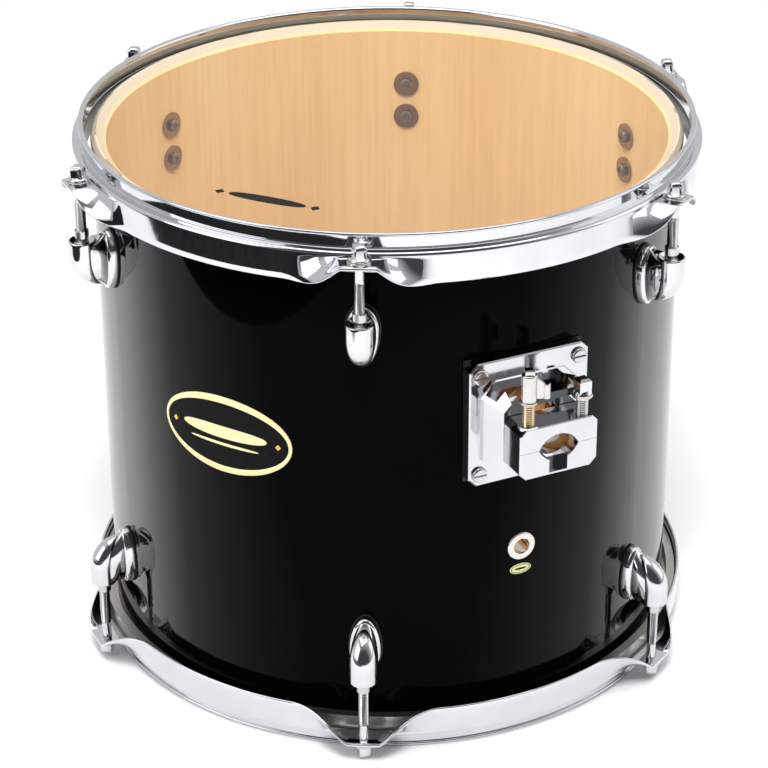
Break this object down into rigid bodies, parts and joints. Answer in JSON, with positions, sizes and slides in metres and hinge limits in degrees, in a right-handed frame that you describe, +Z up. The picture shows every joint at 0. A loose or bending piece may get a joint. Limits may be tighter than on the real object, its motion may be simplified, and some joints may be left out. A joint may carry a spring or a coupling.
{
  "type": "tom tom drum",
  "caption": "Shallow cylindrical drum with a clear head at each end, chromed triple-flanged hoops on tension rods and lugs, and a split clamp on its side for a tube arm",
  "frame": {"origin": "on the drum's axis, in the plane that the resonant hoop's rim stands on", "axes": "+Z up from the resonant head to the batter head; -Y out of the tube-arm bracket; +X completes a right-handed frame"},
  "size_m": [0.35, 0.3496, 0.2858],
  "materials": {
    "birch_ply": "clear satin lacquer on the inside",
    "gloss_wrap": "polished black",
    "clear_film": "clear polyester film",
    "flesh_hoop_aluminium": "plain",
    "hoop_chrome": "polished",
    "lug_chrome": "polished",
    "gasket_rubber": "matt",
    "nut_steel": "plated",
    "retainer_plastic": "moulded",
    "dark_steel": "blackened",
    "washer_steel": "plated",
    "bracket_chrome": "polished",
    "screw_chrome": "polished",
    "wing_steel": "plated",
    "rod_chrome": "polished",
    "vent_chrome": "polished",
    "label_print": "printed",
    "badge_enamel": "black field with a pale border"
  },
  "bodies": {
    "drum": {"shell": "birch_ply", "shell_wrap": "gloss_wrap", "batter_film": "clear_film", "resonant_film": "clear_film", "batter_flesh_hoop": "flesh_hoop_aluminium", "resonant_flesh_hoop": "flesh_hoop_aluminium", "batter_hoop": "hoop_chrome", "resonant_hoop": "hoop_chrome", "batter_lug_casings": "lug_chrome", "resonant_lug_casings": "lug_chrome", "lug_gaskets": "gasket_rubber", "batter_swivel_nuts": "nut_steel", "resonant_swivel_nuts": "nut_steel", "nut_retainers": "retainer_plastic", "lug_screws": "dark_steel", "lug_screw_washers": "washer_steel", "tom_bracket": "bracket_chrome", "bracket_gasket": "gasket_rubber", "bracket_screws": "screw_chrome", "bracket_screw_washers": "washer_steel", "bracket_screw_nuts": "screw_chrome", "vent_grommet": "vent_chrome", "vent_grommet_ring": "vent_chrome", "vent_label": "label_print", "badge_plate": "badge_enamel"},
    "batter_washer_1": {"batter_rod_washer_1": "washer_steel"},
    "batter_rod_1": {"batter_tension_rod_1": "rod_chrome"},
    "batter_washer_2": {"batter_rod_washer_2": "washer_steel"},
    "batter_rod_2": {"batter_tension_rod_2": "rod_chrome"},
    "batter_washer_3": {"batter_rod_washer_3": "washer_steel"},
    "batter_rod_3": {"batter_tension_rod_3": "rod_chrome"},
    "batter_washer_4": {"batter_rod_washer_4": "washer_steel"},
    "batter_rod_4": {"batter_tension_rod_4": "rod_chrome"},
    "batter_washer_5": {"batter_rod_washer_5": "washer_steel"},
    "batter_rod_5": {"batter_tension_rod_5": "rod_chrome"},
    "batter_washer_6": {"batter_rod_washer_6": "washer_steel"},
    "batter_rod_6": {"batter_tension_rod_6": "rod_chrome"},
    "resonant_washer_1": {"resonant_rod_washer_1": "washer_steel"},
    "resonant_rod_1": {"resonant_tension_rod_1": "rod_chrome"},
    "resonant_washer_2": {"resonant_rod_washer_2": "washer_steel"},
    "resonant_rod_2": {"resonant_tension_rod_2": "rod_chrome"},
    "resonant_washer_3": {"resonant_rod_washer_3": "washer_steel"},
    "resonant_rod_3": {"resonant_tension_rod_3": "rod_chrome"},
    "resonant_washer_4": {"resonant_rod_washer_4": "washer_steel"},
    "resonant_rod_4": {"resonant_tension_rod_4": "rod_chrome"},
    "resonant_washer_5": {"resonant_rod_washer_5": "washer_steel"},
    "resonant_rod_5": {"resonant_tension_rod_5": "rod_chrome"},
    "resonant_washer_6": {"resonant_rod_washer_6": "washer_steel"},
    "resonant_rod_6": {"resonant_tension_rod_6": "rod_chrome"},
    "clamp_cap": {"clamp_cap": "bracket_chrome"},
    "wing_bolt_washer": {"wing_bolt_washer": "washer_steel"},
    "wing_bolt": {"wing_bolt": "wing_steel"},
    "key_bolt_washer": {"key_bolt_washer": "washer_steel"},
    "key_bolt": {"key_bolt": "rod_chrome"}
  },
  "joints": [
    {"name": "batter_rod_1_lift", "type": "slide", "parent": "drum", "child": "batter_washer_1", "axis": [0, 0, 1], "range_m": [0, 0.0127]},
    {"name": "batter_rod_1_turn", "type": "hinge", "parent": "batter_washer_1", "child": "batter_rod_1", "pos_m": [-0.084, -0.14549, 0.2658], "axis": [0, 0, 1], "range_deg": [0, 4321]},
    {"name": "batter_rod_2_lift", "type": "slide", "parent": "drum", "child": "batter_washer_2", "axis": [0, 0, 1], "range_m": [0, 0.0127]},
    {"name": "batter_rod_2_turn", "type": "hinge", "parent": "batter_washer_2", "child": "batter_rod_2", "pos_m": [0.084, -0.14549, 0.2658], "axis": [0, 0, 1], "range_deg": [0, 4321]},
    {"name": "batter_rod_3_lift", "type": "slide", "parent": "drum", "child": "batter_washer_3", "axis": [0, 0, 1], "range_m": [0, 0.0127]},
    {"name": "batter_rod_3_turn", "type": "hinge", "parent": "batter_washer_3", "child": "batter_rod_3", "pos_m": [0.168, 0, 0.2658], "axis": [0, 0, 1], "range_deg": [0, 4321]},
    {"name": "batter_rod_4_lift", "type": "slide", "parent": "drum", "child": "batter_washer_4", "axis": [0, 0, 1], "range_m": [0, 0.0127]},
    {"name": "batter_rod_4_turn", "type": "hinge", "parent": "batter_washer_4", "child": "batter_rod_4", "pos_m": [0.084, 0.14549, 0.2658], "axis": [0, 0, 1], "range_deg": [0, 4321]},
    {"name": "batter_rod_5_lift", "type": "slide", "parent": "drum", "child": "batter_washer_5", "axis": [0, 0, 1], "range_m": [0, 0.0127]},
    {"name": "batter_rod_5_turn", "type": "hinge", "parent": "batter_washer_5", "child": "batter_rod_5", "pos_m": [-0.084, 0.14549, 0.2658], "axis": [0, 0, 1], "range_deg": [0, 4321]},
    {"name": "batter_rod_6_lift", "type": "slide", "parent": "drum", "child": "batter_washer_6", "axis": [0, 0, 1], "range_m": [0, 0.0127]},
    {"name": "batter_rod_6_turn", "type": "hinge", "parent": "batter_washer_6", "child": "batter_rod_6", "pos_m": [-0.168, 0, 0.2658], "axis": [0, 0, 1], "range_deg": [0, 4321]},
    {"name": "resonant_rod_1_lift", "type": "slide", "parent": "drum", "child": "resonant_washer_1", "axis": [0, 0, -1], "range_m": [0, 0.0127]},
    {"name": "resonant_rod_1_turn", "type": "hinge", "parent": "resonant_washer_1", "child": "resonant_rod_1", "pos_m": [-0.084, -0.14549, 0.02], "axis": [0, 0, -1], "range_deg": [0, 4321]},
    {"name": "resonant_rod_2_lift", "type": "slide", "parent": "drum", "child": "resonant_washer_2", "axis": [0, 0, -1], "range_m": [0, 0.0127]},
    {"name": "resonant_rod_2_turn", "type": "hinge", "parent": "resonant_washer_2", "child": "resonant_rod_2", "pos_m": [0.084, -0.14549, 0.02], "axis": [0, 0, -1], "range_deg": [0, 4321]},
    {"name": "resonant_rod_3_lift", "type": "slide", "parent": "drum", "child": "resonant_washer_3", "axis": [0, 0, -1], "range_m": [0, 0.0127]},
    {"name": "resonant_rod_3_turn", "type": "hinge", "parent": "resonant_washer_3", "child": "resonant_rod_3", "pos_m": [0.168, 0, 0.02], "axis": [0, 0, -1], "range_deg": [0, 4321]},
    {"name": "resonant_rod_4_lift", "type": "slide", "parent": "drum", "child": "resonant_washer_4", "axis": [0, 0, -1], "range_m": [0, 0.0127]},
    {"name": "resonant_rod_4_turn", "type": "hinge", "parent": "resonant_washer_4", "child": "resonant_rod_4", "pos_m": [0.084, 0.14549, 0.02], "axis": [0, 0, -1], "range_deg": [0, 4321]},
    {"name": "resonant_rod_5_lift", "type": "slide", "parent": "drum", "child": "resonant_washer_5", "axis": [0, 0, -1], "range_m": [0, 0.0127]},
    {"name": "resonant_rod_5_turn", "type": "hinge", "parent": "resonant_washer_5", "child": "resonant_rod_5", "pos_m": [-0.084, 0.14549, 0.02], "axis": [0, 0, -1], "range_deg": [0, 4321]},
    {"name": "resonant_rod_6_lift", "type": "slide", "parent": "drum", "child": "resonant_washer_6", "axis": [0, 0, -1], "range_m": [0, 0.0127]},
    {"name": "resonant_rod_6_turn", "type": "hinge", "parent": "resonant_washer_6", "child": "resonant_rod_6", "pos_m": [-0.168, 0, 0.02], "axis": [0, 0, -1], "range_deg": [0, 4321]},
    {"name": "clamp_cap_lift", "type": "slide", "parent": "drum", "child": "clamp_cap", "axis": [0, 0, 1], "range_m": [0, 0.009]},
    {"name": "wing_bolt_travel", "type": "slide", "parent": "clamp_cap", "child": "wing_bolt_washer", "axis": [0, 0, 1], "range_m": [-0.011, 0.003]},
    {"name": "wing_bolt_turn", "type": "hinge", "parent": "wing_bolt_washer", "child": "wing_bolt", "pos_m": [-0.0144, -0.1827, 0.2], "axis": [0, 0, 1], "range_deg": [-3961, 1081]},
    {"name": "key_bolt_travel", "type": "slide", "parent": "clamp_cap", "child": "key_bolt_washer", "axis": [0, 0, 1], "range_m": [-0.008, 0.003]},
    {"name": "key_bolt_turn", "type": "hinge", "parent": "key_bolt_washer", "child": "key_bolt", "pos_m": [0.0144, -0.1827, 0.2], "axis": [0, 0, 1], "range_deg": [-2881, 1081]}
  ],
  "couplings": [
    {"joint": "batter_rod_1_turn", "follows": "batter_rod_1_lift", "rad_per_m": 5936.9},
    {"joint": "batter_rod_2_turn", "follows": "batter_rod_2_lift", "rad_per_m": 5936.9},
    {"joint": "batter_rod_3_turn", "follows": "batter_rod_3_lift", "rad_per_m": 5936.9},
    {"joint": "batter_rod_4_turn", "follows": "batter_rod_4_lift", "rad_per_m": 5936.9},
    {"joint": "batter_rod_5_turn", "follows": "batter_rod_5_lift", "rad_per_m": 5936.9},
    {"joint": "batter_rod_6_turn", "follows": "batter_rod_6_lift", "rad_per_m": 5936.9},
    {"joint": "resonant_rod_1_turn", "follows": "resonant_rod_1_lift", "rad_per_m": 5936.9},
    {"joint": "resonant_rod_2_turn", "follows": "resonant_rod_2_lift", "rad_per_m": 5936.9},
    {"joint": "resonant_rod_3_turn", "follows": "resonant_rod_3_lift", "rad_per_m": 5936.9},
    {"joint": "resonant_rod_4_turn", "follows": "resonant_rod_4_lift", "rad_per_m": 5936.9},
    {"joint": "resonant_rod_5_turn", "follows": "resonant_rod_5_lift", "rad_per_m": 5936.9},
    {"joint": "resonant_rod_6_turn", "follows": "resonant_rod_6_lift", "rad_per_m": 5936.9},
    {"joint": "wing_bolt_turn", "follows": "wing_bolt_travel", "rad_per_m": 6283.2},
    {"joint": "key_bolt_turn", "follows": "key_bolt_travel", "rad_per_m": 6283.2}
  ]
}
